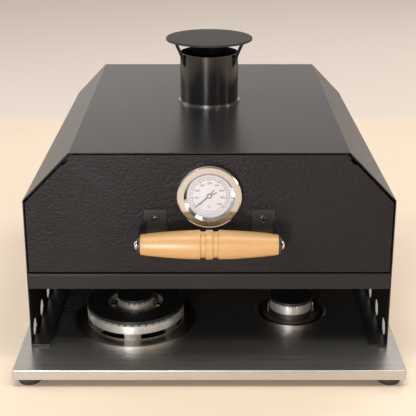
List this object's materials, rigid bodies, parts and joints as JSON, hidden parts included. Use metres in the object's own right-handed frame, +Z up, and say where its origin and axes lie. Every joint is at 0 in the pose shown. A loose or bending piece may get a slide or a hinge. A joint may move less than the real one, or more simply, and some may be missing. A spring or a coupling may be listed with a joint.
{
  "type": "gas pizza oven",
  "caption": "Sheet-steel tabletop pizza oven with top-hinged door, wooden handle, thermometer and capped chimney on a gas burner base with rubber feet.",
  "frame": {"origin": "on the floor under the centre of the base, at the soles of the rubber feet", "axes": "+Z up, +Y from the door to the rear panel, +X to the right seen from the front"},
  "size_m": [0.532, 0.6, 0.3765],
  "materials": {
    "oven_black": "semi-gloss heat-resistant black",
    "base_steel": "brushed, grain from side to side",
    "small_steel": "zinc plated",
    "polished": "polished",
    "feet_rubber": "matt",
    "valve_brass": "turned",
    "burner_cast": "cast and machined",
    "cap_enamel": "matt black enamel",
    "knob_black": "fine grain",
    "ceramic": "glazed white ceramic",
    "sensor_steel": "bright steel",
    "stone": "unglazed ceramic, matt",
    "grip_wood": "clear varnish",
    "gauge_glass": "clear",
    "dial_white": "matt white",
    "needle_black": "matt black"
  },
  "bodies": {
    "base": {"base_plate": "base_steel", "bottom_pan": "base_steel", "rubber_feet": "feet_rubber", "foot_screws": "small_steel", "foot_nuts": "small_steel", "inlet_stub": "valve_brass", "inlet_pipe": "small_steel", "rail_plug": "valve_brass", "large_valve": "valve_brass", "small_valve": "valve_brass", "large_feed_pipe": "burner_cast", "small_feed_pipe": "burner_cast", "burner_jets": "valve_brass", "large_burner_cup": "burner_cast", "small_burner_cup": "burner_cast", "igniters": "ceramic", "flame_sensors": "sensor_steel"},
    "large_tap": {"large_spindle": "small_steel", "large_knob": "knob_black"},
    "small_tap": {"small_spindle": "small_steel", "small_knob": "knob_black"},
    "large_ring": {"large_burner_ring": "burner_cast", "ring_screws": "valve_brass"},
    "ring_cap": {"large_ring_cap": "cap_enamel"},
    "inner_cap": {"large_inner_cap": "cap_enamel"},
    "small_crown": {"small_burner_crown": "burner_cast"},
    "small_cap": {"small_burner_cap": "cap_enamel"},
    "oven": {"oven_shell": "oven_black", "foot_strips": "oven_black", "rear_band": "oven_black", "rear_panel": "oven_black", "floor_tray": "oven_black", "door_frame": "oven_black", "stone_rails": "small_steel", "pizza_stone": "stone", "hinge_lugs": "oven_black", "hinge_rod": "small_steel", "shell_rivets": "oven_black", "chimney_tube": "oven_black", "chimney_collar": "polished", "chimney_cap": "oven_black", "cap_struts": "oven_black", "strut_rivets": "oven_black"},
    "door": {"door_panel": "oven_black", "handle_grip": "grip_wood", "handle_bracket_left": "oven_black", "handle_bracket_right": "oven_black", "bracket_screws": "oven_black", "bracket_nuts": "small_steel", "grip_washers": "polished", "grip_screws": "polished", "gauge_case": "small_steel", "gauge_bezel": "polished", "gauge_glass": "gauge_glass", "gauge_dial": "dial_white", "gauge_stem": "small_steel", "gauge_nut": "small_steel"},
    "needle": {"gauge_needle": "needle_black", "gauge_shaft": "valve_brass"}
  },
  "joints": [
    {"name": "oven_lift", "type": "slide", "parent": "base", "child": "oven", "axis": [0, 0, 1], "range_m": [0, 0.15]},
    {"name": "door_hinge", "type": "hinge", "parent": "oven", "child": "door", "pos_m": [0, -0.2368, 0.2762], "axis": [-1, 0, 0], "range_deg": [0, 80]},
    {"name": "needle_turn", "type": "hinge", "parent": "door", "child": "needle", "pos_m": [0, -0.241, 0.233], "axis": [0, 1, 0], "range_deg": [0, 261]},
    {"name": "large_ring_lift", "type": "slide", "parent": "base", "child": "large_ring", "axis": [0, 0, 1], "range_m": [0, 0.025]},
    {"name": "ring_cap_lift", "type": "slide", "parent": "large_ring", "child": "ring_cap", "axis": [0, 0, 1], "range_m": [0, 0.02]},
    {"name": "inner_cap_lift", "type": "slide", "parent": "large_ring", "child": "inner_cap", "axis": [0, 0, 1], "range_m": [0, 0.015]},
    {"name": "small_crown_lift", "type": "slide", "parent": "base", "child": "small_crown", "axis": [0, 0, 1], "range_m": [0, 0.025]},
    {"name": "small_cap_lift", "type": "slide", "parent": "small_crown", "child": "small_cap", "axis": [0, 0, 1], "range_m": [0, 0.02]},
    {"name": "large_knob_turn", "type": "hinge", "parent": "base", "child": "large_tap", "pos_m": [0.246, 0.11, 0.0155], "axis": [1, 0, 0], "range_deg": [0, 210]},
    {"name": "small_knob_turn", "type": "hinge", "parent": "base", "child": "small_tap", "pos_m": [0.246, 0.03, 0.0155], "axis": [1, 0, 0], "range_deg": [0, 210]}
  ]
}
